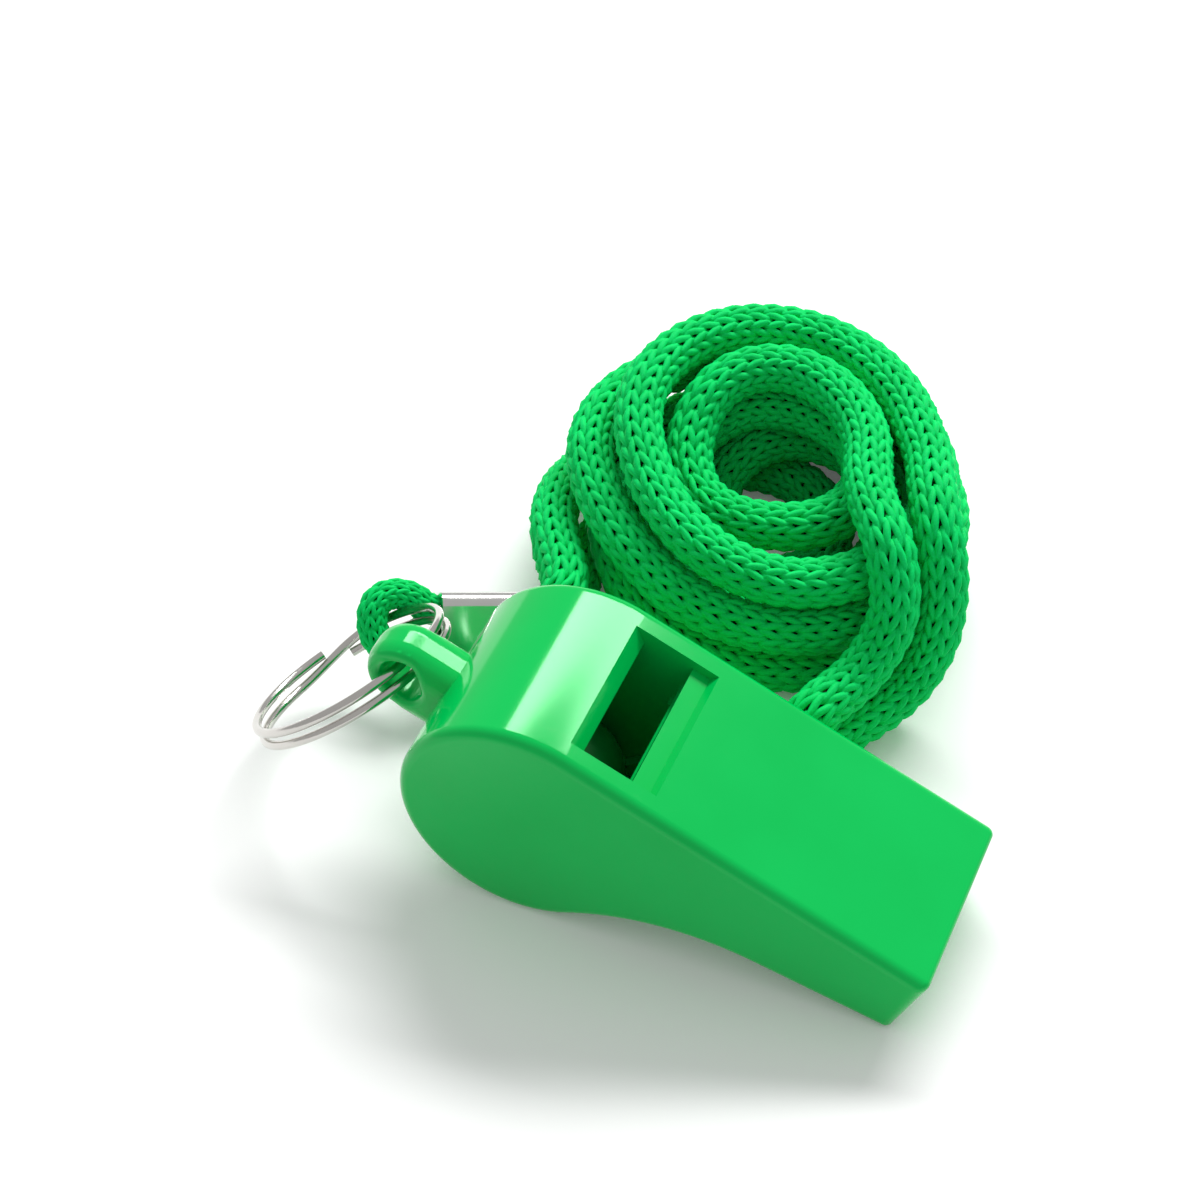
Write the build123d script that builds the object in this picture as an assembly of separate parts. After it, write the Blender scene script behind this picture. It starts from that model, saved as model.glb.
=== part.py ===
from build123d import *
import math
import os

# Sports whistle lying on a table, with its split ring and wound cord.
# All sizes are millimetres. The whistle is drawn level about its barrel axis
# and then tipped forward until the mouthpiece rests on the table.

# Whistle moulding
BARREL_RADIUS = 11.0
BODY_WIDTH = 19.0
MOUTH_REACH = 35.4
TIP_THICKNESS = 7.7
SIDE_WALL = 2.35
BARREL_WALL = 1.6
EDGE_ROUND = 1.0
TIP_ROUND = 0.5
UNDERSIDE_RADIUS = 26.0
UNDERSIDE_RISE = 10.2

# Sound window and windway
WINDOW_BACK = -0.2
LABIUM_BEVEL = 1.4
WINDOW_LIP = 5.9
LIP_RAMP = 2.2
LIP_DROP = 0.9
LIP_RISE = 0.5
WINDWAY_ROOF = 1.5
WINDWAY_HEIGHT = 1.9

# Cord lug
LUG_REACH = 14.6
LUG_DROP = 1.1
LUG_RADIUS = 3.6
LUG_WIDTH = 5.5
LUG_ROUND = 2.1
LUG_HOLE = 2.0
LUG_HOLE_ROUND = 0.7

# Side cover and pea
COVER_SPIGOT = 1.0
SPIGOT_WALL = 1.3
COVER_FIT = 0.1
PEA_RADIUS = 5.8
PEA_CLEARANCE = 0.05

# Split ring
RING_WIRE = 0.85
RING_PITCH = 1.3
RING_RADIUS = 9.5
RING_DROOP = 41.2
RING_SIDEWAYS = 11.6
RING_END_GAP = 14.0
RING_JOG = 50.0
BIGHT_ANGLE = 108.0

# Crimp on the cord's ends
CRIMP_LENGTH = 7.0
CRIMP_WALL = 0.6
CRIMP_CORNER = 1.3
CRIMP_FIT = 0.05
LEG_HEIGHT = 3.2
LEG_DEPTH = 4.4
LEG_GAP = 0.12
CRIMP_HEADING = 32.5
CRIMP_DIP = 10.0
CRIMP_REACH = 3.45
CRIMP_SINK = 1.25
LEG_OUTSIDE = 0.9
LEG_RISE = 0.5
LEG_INSIDE = 1.2

# Cord, doubled and wound clockwise into a hank behind the whistle
CORD = 4.4
BIGHT_CORD = 2.4
BIGHT_RADIUS = 2.7
BIGHT_SPREAD = 25.0
BIGHT_SINK = 0.05
BIGHT_LEAN = 0.38
CORD_GAP = 0.55
FLOOR_CLEAR = 0.12
HANK_X = 6.0
HANK_Y = 38.3
HANK_RADIUS = 15.9
LEAD_DROP_RUN = 1.2
LEAD_DROP_RADIUS = 5.0
LEAD_CORNER_RADIUS = 3.1
UPPER_LEAD_RUN = 4.4
UPPER_LEAD_LEVEL = 1.02
LOWER_LEAD_RUN = 4.2
LOWER_LEAD_LEVEL = 0.03
LEAD_BEND_RUN = 5.2

# The two strands of the hank, row by row: the turns wound, then the place outside the
# hank's radius and the level above the table, both in cord widths
OUTER_STRAND = [
    (-0.12, 0.98, 1.00), (-0.05, 1.00, 0.95), (0.00, 0.94, 0.48), (0.06, 0.76, 0.10), (0.12, 0.46, 0.00),
    (0.20, 0.12, 0.00), (0.30, 0.00, 0.00), (0.58, 0.00, 0.00), (0.66, 0.00, 0.00), (0.78, 0.00, 0.17),
    (0.86, 0.00, 0.48), (0.93, -0.01, 0.86), (0.98, -0.02, 1.00), (1.10, 0.00, 1.00), (1.58, 0.02, 1.00),
    (1.66, 0.02, 1.00), (1.78, -0.05, 1.25), (1.88, -0.03, 1.71), (2.00, 0.36, 2.00), (2.12, 0.16, 2.00),
    (2.24, -0.08, 2.00), (2.36, -0.28, 2.00), (2.46, -0.24, 2.00), (2.56, -0.18, 2.00), (2.68, -0.24, 2.02),
    (2.76, -0.48, 2.17), (2.86, -0.67, 2.45), (2.93, -0.60, 2.65), (3.02, -0.29, 2.90), (3.12, -0.12, 3.00),
    (3.20, -0.22, 3.00), (3.28, -0.50, 3.00), (3.36, -0.68, 3.00), (3.44, -0.62, 3.00), (3.47, -0.46, 3.00),
    (3.516, -0.16, 3.00), (3.55, 0.40, 2.90), (3.569, 1.01, 2.08), (3.584, 1.27, 1.12), (3.608, 1.35, 0.34),
    (3.643, 1.37, 0.07), (3.672, 1.45, 0.03),
]
INNER_STRAND = [
    (-0.12, 0.75, 0.00), (-0.05, 0.20, 0.00), (0.00, -0.20, 0.00), (0.10, -0.64, 0.00), (0.20, -1.10, 0.00),
    (0.32, -1.70, 0.00), (0.45, -2.02, 0.00), (0.60, -1.92, 0.00), (0.75, -1.68, 0.00), (0.90, -1.66, 0.00),
    (0.97, -1.64, 0.05), (1.07, -1.50, 0.50), (1.16, -1.28, 0.95), (1.25, -1.05, 1.02), (1.50, -1.00, 0.96),
    (1.66, -1.00, 0.84), (1.80, -1.00, 0.78), (1.94, -1.00, 0.88), (2.05, -1.05, 1.48), (2.14, -1.18, 1.91),
    (2.26, -1.43, 2.00), (2.38, -1.52, 1.98), (2.48, -1.60, 1.93), (2.56, -1.76, 1.83), (2.64, -1.92, 1.80),
    (2.72, -2.00, 1.76), (2.80, -1.88, 1.76), (2.90, -1.60, 1.88), (3.00, -1.40, 2.27), (3.10, -1.26, 2.82),
    (3.20, -1.35, 2.99), (3.28, -1.56, 3.00), (3.36, -1.70, 3.00), (3.44, -1.66, 3.02), (3.479, -1.56, 3.03),
    (3.54, -1.29, 3.05), (3.582, -0.61, 3.07), (3.60, 0.30, 2.98), (3.609, 0.90, 2.14), (3.624, 1.10, 1.42),
    (3.645, 1.16, 1.04), (3.664, 1.18, 0.99),
]
WIND_BEGIN = -0.04
WIND_TOP = 3.44
WIND_STOPS = 29

half_width = BODY_WIDTH / 2
cavity_half = half_width - SIDE_WALL
chamber_radius = BARREL_RADIUS - BARREL_WALL

# Tip angle: the barrel and the rounded lower edge of the mouthpiece both touch the table
tip_x = MOUTH_REACH - TIP_ROUND
rise = math.radians(UNDERSIDE_RISE)
tip_z = BARREL_RADIUS - TIP_THICKNESS + TIP_ROUND * (1 - math.sin(rise)) / math.cos(rise)
tip_angle = math.degrees(
    math.atan2(tip_z, tip_x) + math.asin((BARREL_RADIUS - TIP_ROUND) / math.hypot(tip_x, tip_z))
)
lay_down = Pos(0, 0, BARREL_RADIUS) * Rot(0, tip_angle, 0)


def prism(face, y_low, y_high):
    """Solid of a face drawn in the side view, between two widths."""
    return Pos(0, y_high, 0) * extrude(face, amount=y_high - y_low)


def side_outline():
    """Side view of the whistle: flat top, square tip, curved underside and round barrel."""
    rise = math.radians(UNDERSIDE_RISE)
    tip_low = BARREL_RADIUS - TIP_THICKNESS
    reach = BARREL_RADIUS + UNDERSIDE_RADIUS
    down_x = UNDERSIDE_RADIUS * math.sin(rise)
    down_z = -UNDERSIDE_RADIUS * math.cos(rise)
    start_x = MOUTH_REACH + down_x
    start_z = tip_low + down_z
    along = start_x * math.cos(rise) + start_z * math.sin(rise)
    back = along - math.sqrt(along**2 - (start_x**2 + start_z**2 - reach**2))
    centre_x = start_x - back * math.cos(rise)
    centre_z = start_z - back * math.sin(rise)
    line_end = (centre_x - down_x, centre_z - down_z)
    scale = BARREL_RADIUS / reach
    barrel_end = (centre_x * scale, centre_z * scale)
    begin = math.atan2(line_end[1] - centre_z, line_end[0] - centre_x)
    finish = math.atan2(barrel_end[1] - centre_z, barrel_end[0] - centre_x)
    middle = (begin + finish) / 2
    arc_middle = (
        centre_x + UNDERSIDE_RADIUS * math.cos(middle),
        centre_z + UNDERSIDE_RADIUS * math.sin(middle),
    )
    edges = [
        Line((0, BARREL_RADIUS), (MOUTH_REACH, BARREL_RADIUS)),
        Line((MOUTH_REACH, BARREL_RADIUS), (MOUTH_REACH, tip_low)),
        Line((MOUTH_REACH, tip_low), line_end),
        ThreePointArc(line_end, arc_middle, barrel_end),
        ThreePointArc(barrel_end, (-BARREL_RADIUS, 0), (0, BARREL_RADIUS)),
    ]
    face = make_face(Curve() + edges)
    corners = face.vertices().sort_by(Axis.X)[-2:]
    return Plane.XZ * fillet(corners, TIP_ROUND)


outline = side_outline()

# Whistle body: everything but the far side wall, so that the hollows open sideways
body = prism(outline, -half_width, cavity_half)
near_edges = body.faces().sort_by(Axis.Y)[0].edges()
body = fillet(near_edges, EDGE_ROUND)

# Lug: a thick rounded ear behind the barrel
lug_x = -LUG_REACH
lug_z = -LUG_DROP
lug_root = LUG_REACH - chamber_radius - 0.6
ear_face = Pos(lug_x, lug_z) * Circle(LUG_RADIUS)
ear_face += Pos(lug_x + lug_root / 2, lug_z) * Rectangle(lug_root, 2 * LUG_RADIUS)
ear = prism(Plane.XZ * ear_face, -LUG_WIDTH / 2, LUG_WIDTH / 2)
ear_sides = ear.faces().filter_by(Axis.Y).edges()
ear_rim = [edge for edge in ear_sides if edge.center().X < lug_x + lug_root - 0.01]
ear = fillet(ear_rim, LUG_ROUND)
eye = prism(Plane.XZ * (Pos(lug_x, lug_z) * Circle(LUG_HOLE)), -LUG_WIDTH, LUG_WIDTH)
ear -= eye
eye_walls = [face for face in ear.faces().filter_by(GeomType.CYLINDER) if abs(face.radius - LUG_HOLE) < 0.001]
eye_rims = [edge for wall in eye_walls for edge in wall.edges() if abs(edge.center().Y) > 0.1]
ear = fillet(eye_rims, LUG_HOLE_ROUND)
body += ear

# Barrel chamber, with the windway and the window that open into it
chamber = prism(Plane.XZ * Circle(chamber_radius), -cavity_half, cavity_half)
roof_z = BARREL_RADIUS - WINDWAY_ROOF
floor_z = roof_z - WINDWAY_HEIGHT
windway_face = Pos((WINDOW_LIP + MOUTH_REACH + 1) / 2, (roof_z + floor_z) / 2)
windway_face *= Rectangle(MOUTH_REACH + 1 - WINDOW_LIP, WINDWAY_HEIGHT)
windway = prism(Plane.XZ * windway_face, -cavity_half, cavity_half)
window_low = floor_z - 1.5
window_top = BARREL_RADIUS + 1
labium_x = WINDOW_BACK + LABIUM_BEVEL
ramp_x = WINDOW_LIP + LIP_RAMP
window_face = make_face(
    Polyline(
        (WINDOW_BACK, window_top),
        (WINDOW_BACK, BARREL_RADIUS),
        (labium_x, BARREL_RADIUS - LABIUM_BEVEL),
        (labium_x, window_low),
        (WINDOW_LIP, window_low),
        (WINDOW_LIP, BARREL_RADIUS - LIP_DROP), (ramp_x - LIP_RISE, BARREL_RADIUS - LIP_DROP),
        (ramp_x, BARREL_RADIUS),
        (ramp_x, window_top),
        close=True,
    )
)
window = prism(Plane.XZ * window_face, -cavity_half, cavity_half)
body -= chamber
body -= windway
body -= window

whistle_body = lay_down * body

# Side cover: the far side wall, with a ring on its inner face that seats in the chamber
cover = prism(outline, cavity_half, half_width)
far_edges = cover.faces().sort_by(Axis.Y)[-1].edges()
cover = fillet(far_edges, EDGE_ROUND)
spigot_radius = chamber_radius - COVER_FIT
spigot_face = Circle(spigot_radius) - Circle(spigot_radius - SPIGOT_WALL)
spigot = prism(Plane.XZ * spigot_face, cavity_half - COVER_SPIGOT, cavity_half)
notch_face = Pos((WINDOW_BACK + ramp_x) / 2, BARREL_RADIUS) * Rectangle(ramp_x - WINDOW_BACK, BARREL_RADIUS)
spigot -= prism(Plane.XZ * notch_face, -cavity_half, cavity_half)
cover += spigot
side_cover = lay_down * cover

# Pea: rests at the bottom of the chamber
pea_drop = chamber_radius - PEA_RADIUS - PEA_CLEARANCE
pea = Pos(0, 0, BARREL_RADIUS - pea_drop) * Sphere(PEA_RADIUS)


def unit(vector):
    return Vector(*vector).normalized()


def biarc(start, start_way, end, end_way):
    """Two arcs that join two points and are tangent to a direction at each of them."""
    span = end - start
    ways = start_way + end_way
    square = 2 * (start_way.dot(end_way) - 1)
    linear = -2 * span.dot(ways)
    constant = span.dot(span)
    if abs(square) < 1e-9:
        reach = -constant / linear
    else:
        root = math.sqrt(linear**2 - 4 * square * constant)
        reach = (-linear - root) / (2 * square)
    joint = (start + start_way * reach + end - end_way * reach) * 0.5
    joint_way = (end - end_way * reach - start - start_way * reach).normalized()
    return [TangentArc(start, joint, tangent=start_way), TangentArc(joint, end, tangent=joint_way)]


def smooth(value):
    """Ramp from 0 to 1 with a level start and end."""
    value = min(1.0, max(0.0, value))
    return value * value * (3 - 2 * value)


def formula_points(point_at, stops):
    """Points of a formula, and its directions there."""
    small = 1e-4
    points = [point_at(stop) for stop in stops]
    ways = [(point_at(stop + small) - point_at(stop - small)).normalized() for stop in stops]
    return points, ways


def biarc_chain(points, ways):
    """Biarcs through a list of points, with a direction at each of them."""
    edges = []
    for index in range(len(points) - 1):
        edges += biarc(points[index], ways[index], points[index + 1], ways[index + 1])
    return edges


def tube(edges, diameter, start, way):
    """Round cord along a chain of edges."""
    section = Plane(origin=start, z_dir=way) * Circle(diameter / 2)
    return sweep(section, path=Wire(edges))


# Split ring: two turns of wire, flat except for one jog from the first turn to the second
hole = lay_down * Pos(lug_x, 0, lug_z)
hole_centre = hole.position
droop = math.radians(RING_DROOP)
sideways = math.radians(RING_SIDEWAYS)
ring_way = Vector(
    -math.cos(sideways) * math.cos(droop),
    math.sin(sideways),
    -math.cos(sideways) * math.sin(droop),
)
ring_far = unit((ring_way.Y, -ring_way.X, 0))
ring_normal = ring_way.cross(ring_far)
ring_centre = hole_centre + ring_way * RING_RADIUS
jog_middle = 150.0
ring_sweep = 720.0 - RING_END_GAP
ring_begin = jog_middle - ring_sweep / 2


def ring_point(angle):
    turn = math.radians(angle)
    rise = RING_PITCH * (smooth((angle - jog_middle) / RING_JOG + 0.5) - 0.5)
    flat = ring_way * (-math.cos(turn)) + ring_far * math.sin(turn)
    return ring_centre + flat * RING_RADIUS + ring_normal * rise


ring_count = 24
ring_stops = [ring_begin + ring_sweep * index / ring_count for index in range(ring_count + 1)]
ring_points, ring_ways = formula_points(ring_point, ring_stops)
split_ring = tube(biarc_chain(ring_points, ring_ways), RING_WIRE, ring_points[0], ring_ways[0])

# Crimp: a flat sleeve behind the ring, tilted down to the table, with its broad side turned up
heading = math.radians(CRIMP_HEADING)
dip = math.radians(CRIMP_DIP)
crimp_way = Vector(
    math.cos(dip) * math.cos(heading),
    math.cos(dip) * math.sin(heading),
    -math.sin(dip),
)
loop_right = unit((0.923, 0.385, 0))
loop_up = unit((-0.272, 0.653, 0.707))
loop_out = loop_right.cross(loop_up)
crimp_up = (loop_up - crimp_way * loop_up.dot(crimp_way)).normalized()
crimp_side = crimp_way.cross(crimp_up)
wire_point = ring_point(BIGHT_ANGLE)
wire_point -= ring_normal * (wire_point - ring_centre).dot(ring_normal)
crimp_front = wire_point + crimp_way * CRIMP_REACH - loop_up * CRIMP_SINK
crimp_back = crimp_front + crimp_way * CRIMP_LENGTH
crimp_plane = Plane(origin=crimp_front, x_dir=crimp_side, z_dir=crimp_way)
bore_depth = LEG_DEPTH + 2 * CRIMP_FIT
bore_height = 2 * LEG_HEIGHT + LEG_GAP + 2 * CRIMP_FIT
sleeve = RectangleRounded(bore_depth + 2 * CRIMP_WALL, bore_height + 2 * CRIMP_WALL, CRIMP_CORNER)
sleeve -= RectangleRounded(bore_depth, bore_height, CRIMP_CORNER - CRIMP_WALL)
crimp = extrude(crimp_plane * sleeve, amount=CRIMP_LENGTH)

# Bight: the cord's fold round the ring, with its two legs flattened inside the crimp
leg_offset = (LEG_HEIGHT + LEG_GAP) / 2
leg_face = RectangleRounded(LEG_DEPTH, LEG_HEIGHT, CRIMP_CORNER - CRIMP_WALL)


def loop_point(angle):
    """Corner of the fold: a circle that leans across the wire, with its ends together at the crimp."""
    step = (180 + 2 * BIGHT_SPREAD) / 8
    reach = BIGHT_RADIUS / math.cos(math.radians(step))
    turn = math.radians(180 - angle * step)
    right = reach * math.cos(turn)
    up = reach * math.sin(turn) - BIGHT_SINK
    return wire_point + loop_right * right + loop_up * up - loop_out * (BIGHT_LEAN * right)


bight_route = [
    crimp_front + crimp_up * leg_offset + crimp_way * LEG_INSIDE,
    crimp_front + crimp_up * (leg_offset + LEG_RISE) - crimp_way * LEG_OUTSIDE,
    loop_point(3),
    loop_point(1),
    loop_point(-1),
    loop_point(-3),
    crimp_front - crimp_up * leg_offset - crimp_way * LEG_OUTSIDE,
    crimp_front - crimp_up * leg_offset + crimp_way * LEG_INSIDE,
]


def route_tube(name, points, diameter, radii=None):
    """Cord of straight runs and tangent arcs along a list of points."""
    fitted = []
    for index in range(1, len(points) - 1):
        before = points[index] - points[index - 1]
        after = points[index + 1] - points[index]
        half_turn = math.radians(before.get_angle(after)) / 2
        fitted.append(0.45 * min(before.length, after.length) / math.tan(half_turn))
    radii = [wanted or fit for wanted, fit in zip(radii or [None] * len(fitted), fitted)]
    line = FilletPolyline(points, radius=radii)
    solid = tube(line.edges(), diameter, points[0], (points[1] - points[0]).normalized())
    section = math.pi * diameter**2 / 4
    print(name, "radii", [round(r, 1) for r in radii], "length", round(line.length, 1),
          "volume", round(solid.volume, 1), "of", round(section * line.length, 1))
    return solid


fold = 0.85 * BIGHT_RADIUS
last_fold = 0.78 * BIGHT_RADIUS
cord_bight = route_tube("cord_bight", bight_route, BIGHT_CORD, [None, fold, fold, fold, last_fold, None])
for side in (1, -1):
    leg = Plane(origin=crimp_front + crimp_up * (side * leg_offset), x_dir=crimp_side, z_dir=crimp_way)
    cord_bight += extrude(leg * leg_face, amount=CRIMP_LENGTH)

# Hank: the doubled cord is wound three and a half times, with its outer and its inner
# strand side by side. The strands climb over the leads on the near left, the inner one
# sags into the hole, and both come down the near right, where the cord folds back.
pitch = CORD + CORD_GAP
low_z = CORD / 2 + FLOOR_CLEAR


def wound(rows, turns):
    """Point of a strand: its rows joined smoothly, wound clockwise from the left of the hank."""
    index = 1
    while index < len(rows) - 1 and turns > rows[index][0]:
        index += 1
    first, second = rows[index - 1], rows[index]
    before, after = rows[max(index - 2, 0)], rows[min(index + 1, len(rows) - 1)]
    run = second[0] - first[0]
    part = (turns - first[0]) / run
    place = []
    for column in (1, 2):
        slope = (second[column] - before[column]) / (second[0] - before[0]) * run
        end_slope = (after[column] - first[column]) / (after[0] - first[0]) * run
        change = second[column] - first[column]
        bend = (3 * change - 2 * slope - end_slope) * part**2
        bend += (slope + end_slope - 2 * change) * part**3
        place.append(first[column] + slope * part + bend)
    angle = 2 * math.pi * turns
    radius = HANK_RADIUS + pitch * place[0]
    height = low_z + pitch * place[1]
    return Vector(HANK_X - radius * math.cos(angle), HANK_Y + radius * math.sin(angle), height)


def strand_points(rows):
    """Points and directions of a strand, closer together where it comes down to the table."""
    step = (WIND_TOP - WIND_BEGIN) / (WIND_STOPS - 1)
    stops = [WIND_BEGIN + step * index for index in range(WIND_STOPS)]
    stops += [row[0] for row in rows if row[0] > WIND_TOP + 0.001]
    return formula_points(lambda turns: wound(rows, turns), stops)


outer_points, outer_ways = strand_points(OUTER_STRAND)
inner_points, inner_ways = strand_points(INNER_STRAND)

# Fold: half a circle that joins the ends of the two strands
fold_way = (outer_ways[-1] + inner_ways[-1]).normalized()
inner_points[-1] += fold_way * (outer_points[-1] - inner_points[-1]).dot(fold_way)
outer_ways[-1] = inner_ways[-1] = fold_way
fold_radius = (inner_points[-1] - outer_points[-1]).length / 2
fold_tip = (outer_points[-1] + inner_points[-1]) * 0.5 + fold_way * fold_radius
hank_edges = biarc_chain(outer_points, outer_ways)
hank_edges.append(ThreePointArc(outer_points[-1], fold_tip, inner_points[-1]))
hank_edges += biarc_chain(inner_points[::-1], [-way for way in inner_ways[::-1]])
cord_coil = tube(hank_edges, CORD, outer_points[0], outer_ways[0])
hank_length = sum(edge.length for edge in hank_edges)
print("cord_coil length", round(hank_length, 1), "volume", round(cord_coil.volume, 1),
      "of", round(hank_length * math.pi * CORD**2 / 4, 1),
      "tightest", round(min(e.radius for e in hank_edges if e.geom_type == GeomType.CIRCLE), 2))


def least_gap(edges, diameter):
    """Least clear space between stretches of a cord that are not next to each other."""
    samples = []
    travelled = 0.0
    for edge in edges:
        count = max(2, int(edge.length / 0.8))
        samples += [(travelled + edge.length * k / count, edge.position_at(k / count)) for k in range(count)]
        travelled += edge.length
    least = 1000.0
    for index, (along, point) in enumerate(samples):
        for other_along, other in samples[index + 1:]:
            if other_along - along > 3.2 * diameter:
                least = min(least, (other - point).length)
    return least - diameter


print("cord_coil least gap", round(least_gap(hank_edges, CORD), 3))

# Leads: the two strands from the crimp to the hank, one above the other
lead_apart = pitch / 2
upper_start = crimp_back + crimp_up * lead_apart
lower_start = crimp_back - crimp_up * lead_apart
lead_heading = Vector(math.cos(heading), math.sin(heading), 0)


def lead_route(start, run, height, end, end_way):
    """Corners of a lead: out of the crimp, level, and round the outside to the hank."""
    drop = start + crimp_way * LEAD_DROP_RUN
    corner = drop + lead_heading * run
    return [start, drop, Vector(corner.X, corner.Y, height), end - end_way * LEAD_BEND_RUN, end]


upper_height = low_z + UPPER_LEAD_LEVEL * pitch
lower_height = low_z + LOWER_LEAD_LEVEL * pitch
upper_route = lead_route(upper_start, UPPER_LEAD_RUN, upper_height, outer_points[0], outer_ways[0])
lower_route = lead_route(lower_start, LOWER_LEAD_RUN, lower_height, inner_points[0], inner_ways[0])
lead_radii = [LEAD_DROP_RADIUS, LEAD_CORNER_RADIUS, None]
cord_lead_upper = route_tube("cord_lead_upper", upper_route, CORD, lead_radii)
cord_lead_lower = route_tube("cord_lead_lower", lower_route, CORD, lead_radii)

# The origin lies on the table under the middle of the whistle and its ring
nodes = {
    "whistle_body": whistle_body,
    "side_cover": side_cover,
    "pea": pea,
    "split_ring": split_ring,
    "crimp": crimp,
    "cord_bight": cord_bight,
    "cord_lead_upper": cord_lead_upper,
    "cord_lead_lower": cord_lead_lower,
    "cord_coil": cord_coil,
}
boxes = [nodes[name].bounding_box() for name in ("whistle_body", "side_cover", "pea", "split_ring")]
shift = Vector(
    -(min(box.min.X for box in boxes) + max(box.max.X for box in boxes)) / 2,
    -(min(box.min.Y for box in boxes) + max(box.max.Y for box in boxes)) / 2,
    -min(box.min.Z for box in boxes),
)
os.makedirs("parts", exist_ok=True)
for name, solid in nodes.items():
    export_step(Pos(shift) * solid, f"parts/{name}.step")

print("tip angle", round(tip_angle, 4))
for name, place in (
    ("shift", shift),
    ("lug hole", hole_centre + shift),
    ("ring centre", ring_centre + shift),
    ("barrel axis", Vector(0, 0, BARREL_RADIUS) + shift),
    ("crimp front", crimp_front + shift),
    ("crimp back", crimp_back + shift),
    ("wire point", wire_point + shift),
    ("hank centre", Vector(HANK_X, HANK_Y, 0) + shift),
):
    print(name, [round(value, 4) for value in place])
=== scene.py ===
import math

import bpy
import numpy as np
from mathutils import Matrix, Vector


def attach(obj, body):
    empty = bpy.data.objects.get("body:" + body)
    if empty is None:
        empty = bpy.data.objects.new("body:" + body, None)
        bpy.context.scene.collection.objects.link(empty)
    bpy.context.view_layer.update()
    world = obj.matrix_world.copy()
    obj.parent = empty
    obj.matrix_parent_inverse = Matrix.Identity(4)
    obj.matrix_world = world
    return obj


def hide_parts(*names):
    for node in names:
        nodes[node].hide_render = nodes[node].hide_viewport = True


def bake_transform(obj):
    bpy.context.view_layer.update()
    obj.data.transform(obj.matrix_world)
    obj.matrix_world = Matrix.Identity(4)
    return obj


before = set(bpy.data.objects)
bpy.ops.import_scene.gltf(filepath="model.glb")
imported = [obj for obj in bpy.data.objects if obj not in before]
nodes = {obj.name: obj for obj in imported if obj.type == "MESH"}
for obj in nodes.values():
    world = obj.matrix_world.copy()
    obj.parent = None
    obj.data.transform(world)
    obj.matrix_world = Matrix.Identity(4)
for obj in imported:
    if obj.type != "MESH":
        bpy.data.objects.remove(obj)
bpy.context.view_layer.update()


# Whistle body: the near half of the moulding, with barrel, mouthpiece and cord lug in one piece.
# Injection-moulded green polypropylene, glossy from a polished mould, open on its far side
# until the side cover closes it.
class Shade:
    """Output of a shader node. Sums and products of outputs and numbers add Math nodes."""

    def __init__(self, tree, link=None):
        self.tree = tree
        self.link = link

    def node(self, kind, settings=None, sockets=None, output=0):
        """Any node: its settings come first, then the values or links of its sockets."""
        made = self.tree.nodes.new("ShaderNode" + kind)
        for name, value in (settings or {}).items():
            if name == "stops":
                ramp = made.color_ramp.elements
                while len(ramp) < len(value):
                    ramp.new(1.0)
                for element, (place, colour) in zip(ramp, value):
                    element.position = place
                    element.color = colour
            else:
                setattr(made, name, value)
        for name, value in (sockets or {}).items():
            if isinstance(value, Shade):
                self.tree.links.new(value.link, made.inputs[name])
            else:
                made.inputs[name].default_value = value
        return Shade(self.tree, made.outputs[output])

    def maths(self, operation, first, second):
        return self.node("Math", {"operation": operation}, {0: first, 1: second})

    def __add__(self, other):
        return self.maths("ADD", self, other)

    def __mul__(self, other):
        return self.maths("MULTIPLY", self, other)

    __radd__ = __add__
    __rmul__ = __mul__


def linear(red, green, blue):
    """Scene colour of a screen colour with channels from 0 to 255."""
    channels = []
    for value in (red, green, blue):
        share = value / 255
        channels.append(share / 12.92 if share <= 0.04045 else ((share + 0.055) / 1.055) ** 2.4)
    return (*channels, 1.0)


def new_finish(name):
    """Empty material, the Shade that adds nodes to it, and its surface node."""
    material = bpy.data.materials.new(name)
    material.use_nodes = True
    return material, Shade(material.node_tree), material.node_tree.nodes["Principled BSDF"]


def set_surface(start, surface, sockets):
    """Links or values for the sockets of a surface node."""
    for name, value in sockets.items():
        if isinstance(value, Shade):
            start.tree.links.new(value.link, surface.inputs[name])
        else:
            surface.inputs[name].default_value = value


def moulded_plastic(name, dark, bright, gloss):
    """Moulded plastic: faint flow mottling, a hint of orange peel and hairline handling marks."""
    material, start, surface = new_finish(name)
    place = start.node("TexCoord", output=3)
    flow = start.node("TexNoise", None, {"Vector": place, "Scale": 90.0, "Detail": 3.0})
    peel = start.node("TexNoise", None, {"Vector": place, "Scale": 900.0, "Detail": 2.0})
    hair_place = start.node("Mapping", None, {"Vector": place, "Scale": (260.0, 2600.0, 1500.0)})
    hair = start.node("TexNoise", None, {"Vector": hair_place, "Scale": 1.0, "Detail": 4.0})
    marks = start.node("ValToRGB", {"stops": [(0.62, (0, 0, 0, 1)), (0.78, (1, 1, 1, 1))]}, {"Fac": hair})
    colour = start.node("Mix", {"data_type": "RGBA"}, {"Factor": flow, 6: dark, 7: bright}, output=2)
    height = peel * 0.6 + marks * 0.4
    bumps = start.node("Bump", None, {"Height": height, "Strength": 0.06, "Distance": 0.00003})
    set_surface(start, surface, {
        "Base Color": colour,
        "Roughness": gloss + flow * 0.06 + marks * 0.05,
        "Specular IOR Level": 0.40,
        "Specular Tint": (0.50, 1.0, 0.62, 1.0),
        "Normal": bumps,
    })
    return material


def dress(piece, material):
    """Gives a piece its finish in every material slot."""
    piece.data.materials.clear()
    piece.data.materials.append(material)


shell_green = moulded_plastic("shell_green", linear(0, 182, 78), linear(0, 196, 88), 0.08)
dress(nodes["whistle_body"], shell_green)

# Side cover: the far side wall of the whistle, moulded in the same green plastic.
# Its ring seats in the barrel and the rim is welded all round, which closes the
# windway and the barrel.
dress(nodes["side_cover"], shell_green)

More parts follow.
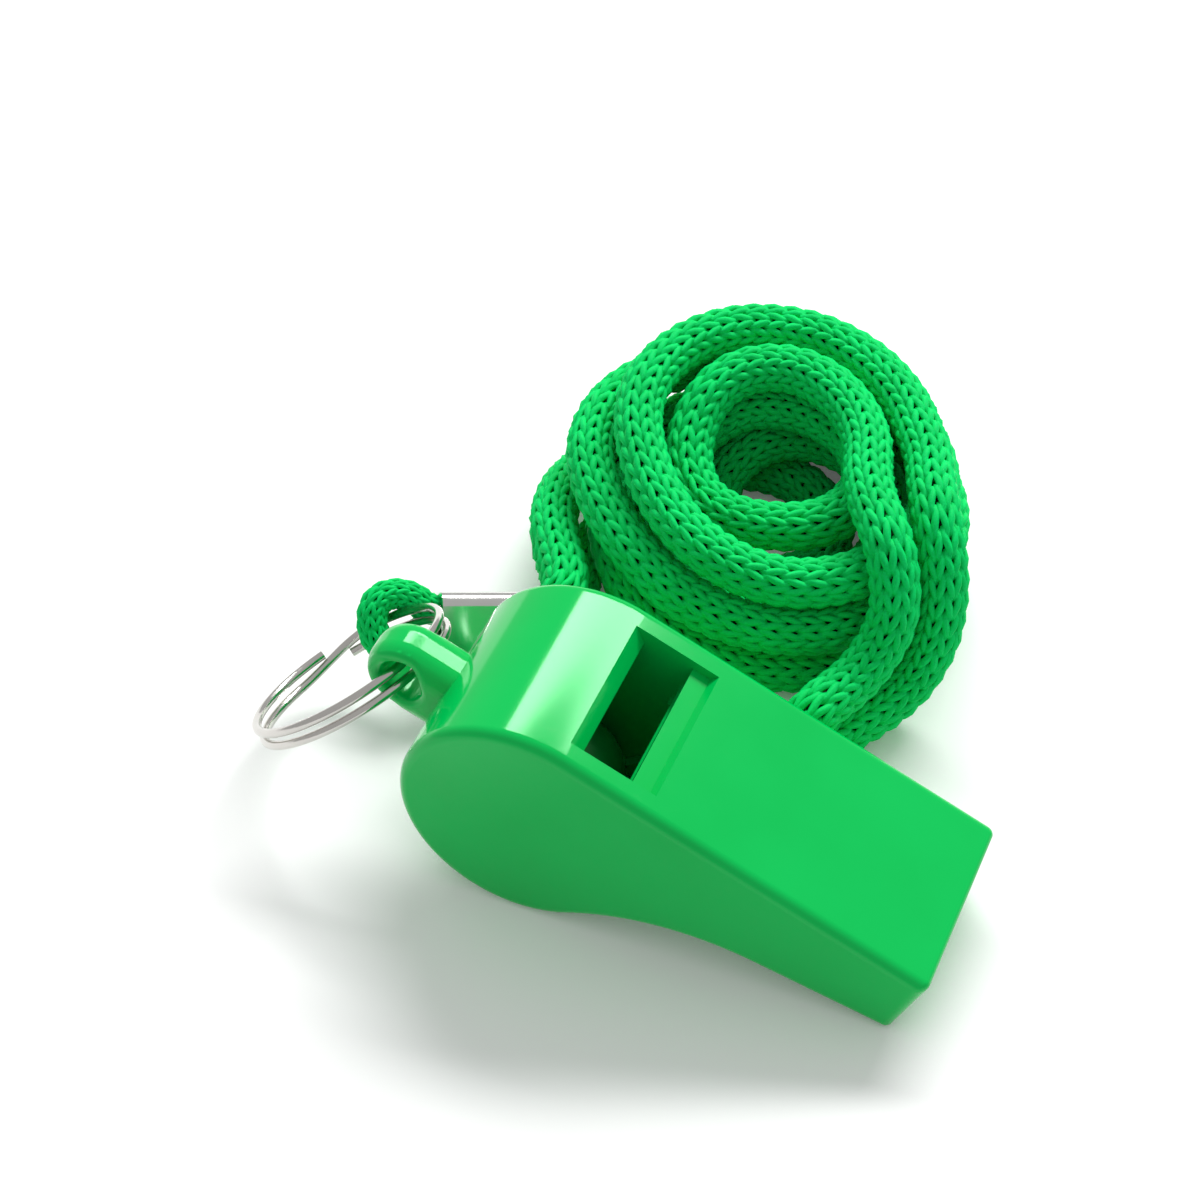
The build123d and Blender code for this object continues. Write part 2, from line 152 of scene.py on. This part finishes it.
# Pea: a light moulded ball, put in before the cover is welded on.
# It rolls round the barrel in the stream of air and makes the tone trill.
pea_green = moulded_plastic("pea_green", linear(0, 112, 44), linear(0, 132, 54), 0.38)
dress(nodes["pea"], pea_green)


# Split ring: two turns of nickel-plated spring wire, sprung open to thread it
# through the lug and through the cord's loop.
def plated_metal(name, tint, gloss, scratch_scale):
    """Plated metal with drawing marks in its gloss and thin dull patches."""
    material, start, surface = new_finish(name)
    place = start.node("TexCoord", output=3)
    patches = start.node("TexNoise", None, {"Vector": place, "Scale": 420.0, "Detail": 4.0})
    drawn_place = start.node("Mapping", None, {"Vector": place, "Scale": scratch_scale})
    drawn = start.node("TexNoise", None, {"Vector": drawn_place, "Scale": 1.0, "Detail": 3.0})
    dull = (*(0.72 * channel for channel in tint[:3]), 1.0)
    colour = start.node("Mix", {"data_type": "RGBA"}, {"Factor": patches * 0.5, 6: tint, 7: dull}, output=2)
    scratches = start.node("Bump", None, {"Height": drawn, "Strength": 0.08, "Distance": 0.00002})
    set_surface(start, surface, {
        "Base Color": colour,
        "Metallic": 1.0,
        "Roughness": gloss + patches * 0.12 + drawn * 0.08,
        "Normal": scratches,
    })
    return material


ring_steel = plated_metal("ring_steel", linear(214, 211, 206), 0.06, (900.0, 900.0, 2600.0))
dress(nodes["split_ring"], ring_steel)

# Crimp: a flat sleeve of thin plated strip, pressed over both legs of the cord
# behind the loop, so that the loop can't slip off the ring.
crimp_plate = plated_metal("crimp_plate", linear(226, 226, 222), 0.05, (500.0, 500.0, 2200.0))
dress(nodes["crimp"], crimp_plate)

# Loop of the cord round the ring: a tube knitted from green polyester yarn on eight
# needles, pulled tight where it folds over the wire and pressed flat where its legs
# go into the crimp. The neck cord is the same knit at its full width.
MM = 0.001
LOOP_MIDDLE = Vector((-24.415, 10.063, 7.786)) * MM
LOOP_RIGHT = Vector((0.923, 0.385, 0.0))
LOOP_UP = Vector((-0.272, 0.653, 0.707))
LOOP_OUT = LOOP_RIGHT.cross(LOOP_UP)
LOOP_SCALE = 0.62
# Line of the loop: millimetres to the right of its middle, up from it and out towards the viewer
BIGHT = [
    (5.77, 0.41, -1.44),
    (2.48, 0.90, -0.65),
    (1.30, 2.20, -0.30),
    (-0.90, 2.60, 0.30),
    (-2.45, 1.50, 0.90),
    (-2.45, -1.30, 0.90),
    (-0.90, -3.00, 0.30),
    (1.60, -3.00, -0.40),
    (5.77, -2.91, -1.44),
]
# Knit: stitches round the tube, length of a round of stitches, yarn, and how each stitch leans and bulges
WALES = 8
COURSE = 1.72 * MM
YARN_RADIUS = 0.37 * MM
KNIT_RADIUS = 1.78 * MM
LEG_LEAN = 0.26
LOOP_HEIGHT = 0.74
LOOP_DEPTH = 0.24 * MM
LOOP_POINTS = 12
YARN_SIDES = 5
# Core: a dark tube inside the knit, painted shade seen through the gaps between the stitches
CORE_RADIUS = 1.35 * MM
CORE_SIDES = 12
CORE_STEP = 1.2 * MM
LINE_STEPS = 12


def smooth_line(points):
    """Points along the smooth line that a list of control points gives."""
    curve = bpy.data.curves.new("cord_line", "CURVE")
    curve.dimensions = "3D"
    curve.resolution_u = LINE_STEPS
    spline = curve.splines.new("NURBS")
    spline.points.add(len(points) - 1)
    for control, point in zip(spline.points, points):
        control.co = (*point, 1.0)
    spline.order_u = 3
    spline.use_endpoint_u = True
    holder = bpy.data.objects.new("cord_line", curve)
    mesh = bpy.data.meshes.new_from_object(holder)
    line = np.array([vertex.co for vertex in mesh.vertices])
    bpy.data.objects.remove(holder)
    bpy.data.curves.remove(curve)
    bpy.data.meshes.remove(mesh)
    return line


class KnitTube:
    """Line of a cord, with the frames that place its stitches round it."""

    def __init__(self, line, first_side):
        steps = np.diff(line, axis=0)
        self.along = np.concatenate([[0.0], np.cumsum(np.linalg.norm(steps, axis=1))])
        self.length = self.along[-1]
        self.line = line
        ways = np.gradient(line, self.along, axis=0)
        ways /= np.linalg.norm(ways, axis=1)[:, None]
        sides = np.empty_like(line)
        side = np.array(first_side, float)
        for index, way in enumerate(ways):
            side = side - way * side.dot(way)
            side /= np.linalg.norm(side)
            sides[index] = side
        self.sides = sides
        self.ups = np.cross(ways, sides)

    def read(self, table, along):
        return np.stack([np.interp(along, self.along, table[:, axis]) for axis in range(3)], axis=1)

    def place(self, along, turn, radius):
        """Points at a distance along the cord, an angle round it and a radius from its line."""
        out = self.read(self.sides, along) * np.cos(turn)[:, None]
        out += self.read(self.ups, along) * np.sin(turn)[:, None]
        return self.read(self.line, along) + out * radius[:, None]


def swept(points, sections):
    """Vertices and faces of a closed tube whose rings are given as offsets from points."""
    count, sides, _ = sections.shape
    vertices = (points[:, None, :] + sections).reshape(-1, 3)
    ring = np.arange(count - 1)[:, None] * sides
    corner = np.arange(sides)[None, :]
    after = (corner + 1) % sides
    quads = np.stack([ring + corner, ring + after, ring + sides + after, ring + sides + corner], axis=-1)
    caps = [list(range(sides))[::-1], list(range((count - 1) * sides, count * sides))]
    return vertices, quads.reshape(-1, 4).tolist() + caps


def yarn_tube(tube, start, stop, scale):
    """One yarn that runs round and round the cord, a stitch on every needle."""
    stitches = int((stop - start) / (COURSE * scale)) * WALES
    stitch = np.arange(stitches * LOOP_POINTS + 1) / LOOP_POINTS
    along = start + COURSE * scale * (stitch / WALES - LOOP_HEIGHT * np.cos(2 * math.pi * stitch))
    turn = 2 * math.pi / WALES * (stitch + LEG_LEAN * np.sin(4 * math.pi * stitch))
    radius = scale * (KNIT_RADIUS - LOOP_DEPTH * np.cos(4 * math.pi * stitch))
    along = np.clip(along, start, stop)
    points = tube.place(along, turn, radius)
    outward = points - tube.read(tube.line, along)
    ways = np.gradient(points, axis=0)
    ways /= np.linalg.norm(ways, axis=1)[:, None] + 1e-12
    outward -= ways * np.sum(outward * ways, axis=1)[:, None]
    outward /= np.linalg.norm(outward, axis=1)[:, None] + 1e-12
    across = np.cross(ways, outward)
    angles = 2 * math.pi * np.arange(YARN_SIDES) / YARN_SIDES
    sections = outward[:, None, :] * np.cos(angles)[None, :, None]
    sections = sections + across[:, None, :] * np.sin(angles)[None, :, None]
    return swept(points, sections * (YARN_RADIUS * scale))


def core_tube(tube, start, stop, scale):
    """A dark tube inside the knit, painted shade that shows through the gaps between the stitches."""
    count = max(2, int((stop - start) / CORE_STEP))
    along = np.linspace(start, stop, count)
    angles = 2 * math.pi * np.arange(CORE_SIDES) / CORE_SIDES
    centres = tube.read(tube.line, along)
    sections = tube.read(tube.sides, along)[:, None, :] * np.cos(angles)[None, :, None]
    sections = sections + tube.read(tube.ups, along)[:, None, :] * np.sin(angles)[None, :, None]
    return swept(centres, sections * (CORE_RADIUS * scale))


def knit_piece(name, tube, start, stop, scale, finishes):
    """Mesh of a knitted cord between two places along its line."""
    mesh = bpy.data.meshes.new(name)
    yarn_points, yarn_faces = yarn_tube(tube, start, stop, scale)
    core_points, core_faces = core_tube(tube, start, stop, scale)
    first = len(yarn_points)
    faces = yarn_faces + [[corner + first for corner in face] for face in core_faces]
    mesh.from_pydata(np.concatenate([yarn_points, core_points]).tolist(), [], faces)
    mesh.polygons.foreach_set("material_index", [0] * len(yarn_faces) + [1] * len(core_faces))
    mesh.shade_smooth()
    for finish in finishes:
        mesh.materials.append(finish)
    piece = bpy.data.objects.new(name, mesh)
    bpy.context.scene.collection.objects.link(piece)
    return piece


def knitted_yarn(name, dark, bright):
    """Soft multifilament yarn: fine filaments and uneven dye. With dark colours it also gives the painted
    shade of the core inside the knit.
    """
    material, start, surface = new_finish(name)
    place = start.node("TexCoord", output=3)
    dye = start.node("TexNoise", None, {"Vector": place, "Scale": 260.0, "Detail": 3.0})
    fibre = start.node("TexNoise", None, {"Vector": place, "Scale": 5200.0, "Detail": 2.0})
    shade = dye * 0.6 + fibre * 0.4
    colour = start.node("Mix", {"data_type": "RGBA"}, {"Factor": shade, 6: dark, 7: bright}, output=2)
    bumps = start.node("Bump", None, {"Height": fibre, "Strength": 0.35, "Distance": 0.00008})
    set_surface(start, surface, {
        "Base Color": colour,
        "Roughness": 0.5 + fibre * 0.2,
        "Specular IOR Level": 0.08,
        "Normal": bumps,
    })
    return material


cord_yarn = knitted_yarn("cord_yarn", linear(0, 175, 75), linear(10, 240, 125))
# Dark greens of the core: painted shade inside the knitted tube, not a colour of the yarn
cord_painted_shade = knitted_yarn("cord_painted_shade", linear(0, 50, 10), linear(0, 66, 18))
bight_line = [
    LOOP_MIDDLE + (LOOP_RIGHT * right + LOOP_UP * up + LOOP_OUT * out) * MM
    for right, up, out in BIGHT
]
bight_tube = KnitTube(smooth_line(bight_line), (0.0, -0.6, 0.7))
cord_loop = knit_piece("cord_loop", bight_tube, 0.0, bight_tube.length, LOOP_SCALE, [cord_yarn, cord_painted_shade])
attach(cord_loop, "ring")
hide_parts("cord_bight")

# Neck cord: both of its ends go into the crimp, and the doubled cord is wound into a
# hank of three and a half turns that lies on the table behind the whistle, with its
# fold tucked in at the whistle's far side.
CORD_PITCH = 4.95 * MM
HANK_CENTRE = Vector((2.2, 37.15, 0.0)) * MM
HANK_RADIUS = 15.9 * MM
HANK_LOW = 2.45 * MM
WIND_BEGIN = -0.04
WIND_TOP = 3.44
POINTS_PER_TURN = 24
# Rows of the two strands: turns wound, then the place outside the hank's radius and the level
# above the table, both in cord widths
OUTER_STRAND = [
    (-0.12, 0.98, 1.00), (-0.05, 1.00, 0.95), (0.00, 0.94, 0.48), (0.06, 0.76, 0.10), (0.12, 0.46, 0.00),
    (0.20, 0.12, 0.00), (0.30, 0.00, 0.00), (0.58, 0.00, 0.00), (0.66, 0.00, 0.00), (0.78, 0.00, 0.17),
    (0.86, 0.00, 0.48), (0.93, -0.01, 0.86), (0.98, -0.02, 1.00), (1.10, 0.00, 1.00), (1.58, 0.02, 1.00),
    (1.66, 0.02, 1.00), (1.78, -0.05, 1.25), (1.88, 0.07, 1.71), (2.00, 0.55, 2.00), (2.12, 0.26, 2.00),
    (2.24, -0.08, 2.00), (2.36, -0.28, 2.00), (2.46, -0.24, 2.00), (2.56, -0.18, 2.00), (2.68, -0.24, 2.02),
    (2.76, -0.48, 2.17), (2.86, -0.67, 2.45), (2.93, -0.60, 2.65), (3.02, -0.29, 2.90), (3.12, -0.12, 3.00),
    (3.20, -0.22, 3.00), (3.28, -0.50, 3.00), (3.36, -0.68, 3.00), (3.44, -0.62, 3.00), (3.47, -0.46, 3.00),
    (3.516, -0.16, 3.00), (3.55, 0.40, 2.90), (3.569, 1.01, 2.08), (3.584, 1.27, 1.12), (3.608, 1.35, 0.34),
    (3.650, 1.62, 0.05), (3.669, 1.95, 0.03),
]
INNER_STRAND = [
    (-0.12, 0.75, 0.00), (-0.05, 0.20, 0.00), (0.00, -0.20, 0.00), (0.10, -0.64, 0.00), (0.20, -1.10, 0.00),
    (0.32, -1.80, 0.00), (0.45, -2.20, 0.00), (0.60, -2.35, 0.00), (0.75, -2.35, 0.00), (0.90, -2.20, 0.00),
    (0.97, -2.00, 0.05), (1.07, -1.60, 0.50), (1.16, -1.28, 0.95), (1.25, -1.05, 1.02), (1.50, -1.00, 0.96),
    (1.66, -1.00, 0.84), (1.80, -1.00, 0.78), (1.94, -1.00, 0.88), (2.05, -1.05, 1.48), (2.14, -1.18, 1.91),
    (2.26, -1.43, 2.00), (2.38, -1.52, 1.98), (2.48, -1.60, 1.93), (2.56, -1.76, 1.83), (2.64, -1.92, 1.80),
    (2.72, -2.00, 1.76), (2.80, -1.88, 1.76), (2.90, -1.60, 1.88), (3.00, -1.40, 2.27), (3.10, -1.26, 2.82),
    (3.20, -1.35, 2.99), (3.28, -1.56, 3.00), (3.36, -1.70, 3.00), (3.44, -1.66, 3.02), (3.479, -1.56, 3.03),
    (3.54, -1.29, 3.05), (3.582, -0.61, 3.07), (3.60, 0.30, 2.98), (3.609, 0.90, 2.14), (3.624, 1.10, 1.42),
    (3.647, 1.40, 1.02), (3.662, 1.685, 0.99),
]
# Lines of the two leads from inside the crimp to the hank, in millimetres
UPPER_LEAD = [
    (-17.72, 15.34, 7.18),
    (-16.06, 16.40, 6.84),
    (-15.07, 17.03, 6.75),
    (-11.35, 19.40, 7.50),
    (-16.70, 26.90, 7.40),
]
LOWER_LEAD = [
    (-16.39, 12.10, 3.69),
    (-14.73, 13.16, 3.34),
    (-13.73, 13.79, 3.13),
    (-10.19, 16.05, 2.60),
    (-14.40, 27.90, 2.45),
]
CRIMP_BACK = Vector((-15.396, 14.777, 5.088)) * MM
CRIMP_WAY = Vector((0.8306, 0.5291, -0.1736))
CRIMP_UP = Vector((-0.2694, 0.6546, 0.7065))
BORE_HEIGHT = 6.4 * MM
BORE_DEPTH = 4.4 * MM
PRESS_RUN = 4.0 * MM
FLOOR_CLEAR = 0.08 * MM


def wound(rows, turns):
    """Point of a strand of the hank: its rows joined smoothly, wound clockwise from the left."""
    index = 1
    while index < len(rows) - 1 and turns > rows[index][0]:
        index += 1
    first, second = rows[index - 1], rows[index]
    before, after = rows[max(index - 2, 0)], rows[min(index + 1, len(rows) - 1)]
    run = second[0] - first[0]
    part = (turns - first[0]) / run
    place = []
    for column in (1, 2):
        slope = (second[column] - before[column]) / (second[0] - before[0]) * run
        end_slope = (after[column] - first[column]) / (after[0] - first[0]) * run
        change = second[column] - first[column]
        bend = (3 * change - 2 * slope - end_slope) * part**2
        bend += (slope + end_slope - 2 * change) * part**3
        place.append(first[column] + slope * part + bend)
    angle = 2 * math.pi * turns
    radius = HANK_RADIUS + CORD_PITCH * place[0]
    height = HANK_LOW + CORD_PITCH * place[1]
    return HANK_CENTRE + Vector((-radius * math.cos(angle), radius * math.sin(angle), height))


def strand(rows):
    """Points along a strand, closer together where it comes down to the table."""
    count = int((WIND_TOP - WIND_BEGIN) * POINTS_PER_TURN)
    stops = [WIND_BEGIN + (WIND_TOP - WIND_BEGIN) * k / count for k in range(count + 1)]
    for row, after in zip(rows, rows[1:]):
        if row[0] >= WIND_TOP:
            stops += [(row[0] + after[0]) / 2, after[0]]
    return [wound(rows, turns) for turns in stops]


hank_out = strand(OUTER_STRAND)
hank_back = strand(INNER_STRAND)[::-1]
fold_way = (hank_out[-1] - hank_out[-2] + hank_back[0] - hank_back[1]).normalized()
hank_back[0] += fold_way * (hank_out[-1] - hank_back[0]).dot(fold_way)
fold_rise = (hank_back[0] - hank_out[-1]) / 2
fold_middle = hank_out[-1] + fold_rise
fold = [
    fold_middle - fold_rise * math.cos(turn) + fold_way * (fold_rise.length * math.sin(turn))
    for turn in (math.pi / 4, math.pi / 2, 3 * math.pi / 4)
]
route = [Vector(point) * MM for point in UPPER_LEAD] + hank_out + fold + hank_back
route += [Vector(point) * MM for point in reversed(LOWER_LEAD)]
cord_tube = KnitTube(smooth_line(route), (0.0, 0.0, 1.0))
neck_cord = knit_piece("neck_cord", cord_tube, 0.0, cord_tube.length, 1.0, [cord_yarn, cord_painted_shade])


def press_ends(piece):
    """Squeezes the two ends of the cord to the size of the crimp's bore."""
    points = np.empty(3 * len(piece.data.vertices), dtype=np.float32)
    piece.data.vertices.foreach_get("co", points)
    points = points.reshape(-1, 3).astype(float)
    way, up = np.array(CRIMP_WAY), np.array(CRIMP_UP)
    side = np.cross(way, up)
    offset = points - np.array(CRIMP_BACK)
    along, high, deep = offset @ way, offset @ up, offset @ side
    free = np.clip(along / PRESS_RUN, 0.0, 1.0)
    free = free * free * (3 - 2 * free)
    near = (along < PRESS_RUN) & (np.abs(high) < 2 * CORD_PITCH) & (np.abs(deep) < CORD_PITCH)
    height_left = BORE_HEIGHT / 2 / np.abs(high[near]).max()
    depth_left = BORE_DEPTH / 2 / np.abs(deep[near]).max()
    new_high = high * (height_left + (1 - height_left) * free)
    new_deep = deep * (depth_left + (1 - depth_left) * free)
    moved = np.outer(along, way) + np.outer(new_high, up) + np.outer(new_deep, side)
    points[near] = np.array(CRIMP_BACK) + moved[near]
    points[:, 2] = np.maximum(points[:, 2], FLOOR_CLEAR)
    piece.data.vertices.foreach_set("co", points.astype(np.float32).ravel())
    piece.data.update()


press_ends(neck_cord)
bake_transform(neck_cord)
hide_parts("cord_coil", "cord_lead_upper", "cord_lead_lower")

# Table: a plain white surface that the whistle and its cord lie on.
# It stands in for any pale table top and is no part of the object.
FLOOR_SIZE = 6.0
FLOOR_LIFT = (0.08, 0.08, 0.08, 1.0)
floor_mesh = bpy.data.meshes.new("table_top")
half = FLOOR_SIZE / 2
corners = [(-half, -half, 0), (half, -half, 0), (half, half, 0), (-half, half, 0)]
floor_mesh.from_pydata(corners, [], [(0, 1, 2, 3)])
floor = bpy.data.objects.new("table_top", floor_mesh)
bpy.context.scene.collection.objects.link(floor)
floor_white, start, surface = new_finish("table_white")
camera_ray = start.node("LightPath")
glossy_ray = start.node("LightPath", output=3)
through_ray = start.node("LightPath", output=6)
seen = camera_ray + glossy_ray + through_ray
lift = start.node(
    "Mix",
    {"data_type": "RGBA", "clamp_factor": True},
    {"Factor": seen, 6: (0.0, 0.0, 0.0, 1.0), 7: FLOOR_LIFT},
    output=2,
)
set_surface(start, surface, {
    "Base Color": (0.92, 0.92, 0.92, 1.0),
    "Roughness": 0.9,
    "Specular IOR Level": 0.0,
    "Emission Color": lift,
    "Emission Strength": 1.0,
})
floor_mesh.materials.append(floor_white)

# Studio: an even white surround, and one long soft lamp behind and above the
# whistle that draws the wide highlight on its barrel.
WORLD_LEVEL = 0.52
LAMP_PLACE = Vector((-0.03, 0.51, 0.55))
LAMP_TARGET = Vector((0.0, 0.0, 0.01))
LAMP_LENGTH = 0.62
LAMP_WIDTH = 0.16
LAMP_POWER = 6.0
world = bpy.data.worlds.new("studio")
world.use_nodes = True
bpy.context.scene.world = world
background = world.node_tree.nodes["Background"]
background.inputs["Color"].default_value = (1.0, 1.0, 1.0, 1.0)
background.inputs["Strength"].default_value = WORLD_LEVEL
bpy.context.scene.view_settings.view_transform = "Standard"
lamp = bpy.data.lights.new("back_lamp", "AREA")
lamp.shape = "RECTANGLE"
lamp.size = LAMP_LENGTH
lamp.size_y = LAMP_WIDTH
lamp.energy = LAMP_POWER
lamp_holder = bpy.data.objects.new("back_lamp", lamp)
lamp_holder.location = LAMP_PLACE
lamp_holder.rotation_mode = "QUATERNION"
lamp_holder.rotation_quaternion = (LAMP_TARGET - LAMP_PLACE).to_track_quat("-Z", "Y")
bpy.context.scene.collection.objects.link(lamp_holder)

# Camera: the photograph's view, from the near side of the whistle, a little towards
# its mouthpiece and well above, with a long lens.
VIEW_AZIMUTH = 22.63
VIEW_ELEVATION = 46.0
VIEW_DISTANCE = 0.242
VIEW_TARGET = Vector((0.00002, -0.00115, 0.03095))
LENS = 89.7
camera = bpy.data.objects.new("camera", bpy.data.cameras.new("camera"))
camera.data.lens = LENS
camera.data.clip_start = 0.01
camera.data.clip_end = 20.0
azimuth = math.radians(VIEW_AZIMUTH)
elevation = math.radians(VIEW_ELEVATION)
back = Vector((
    math.sin(azimuth) * math.cos(elevation),
    -math.cos(azimuth) * math.cos(elevation),
    math.sin(elevation),
))
camera.location = VIEW_TARGET + back * VIEW_DISTANCE
camera.rotation_mode = "QUATERNION"
camera.rotation_quaternion = (-back).to_track_quat("-Z", "Y")
bpy.context.scene.collection.objects.link(camera)
bpy.context.scene.camera = camera
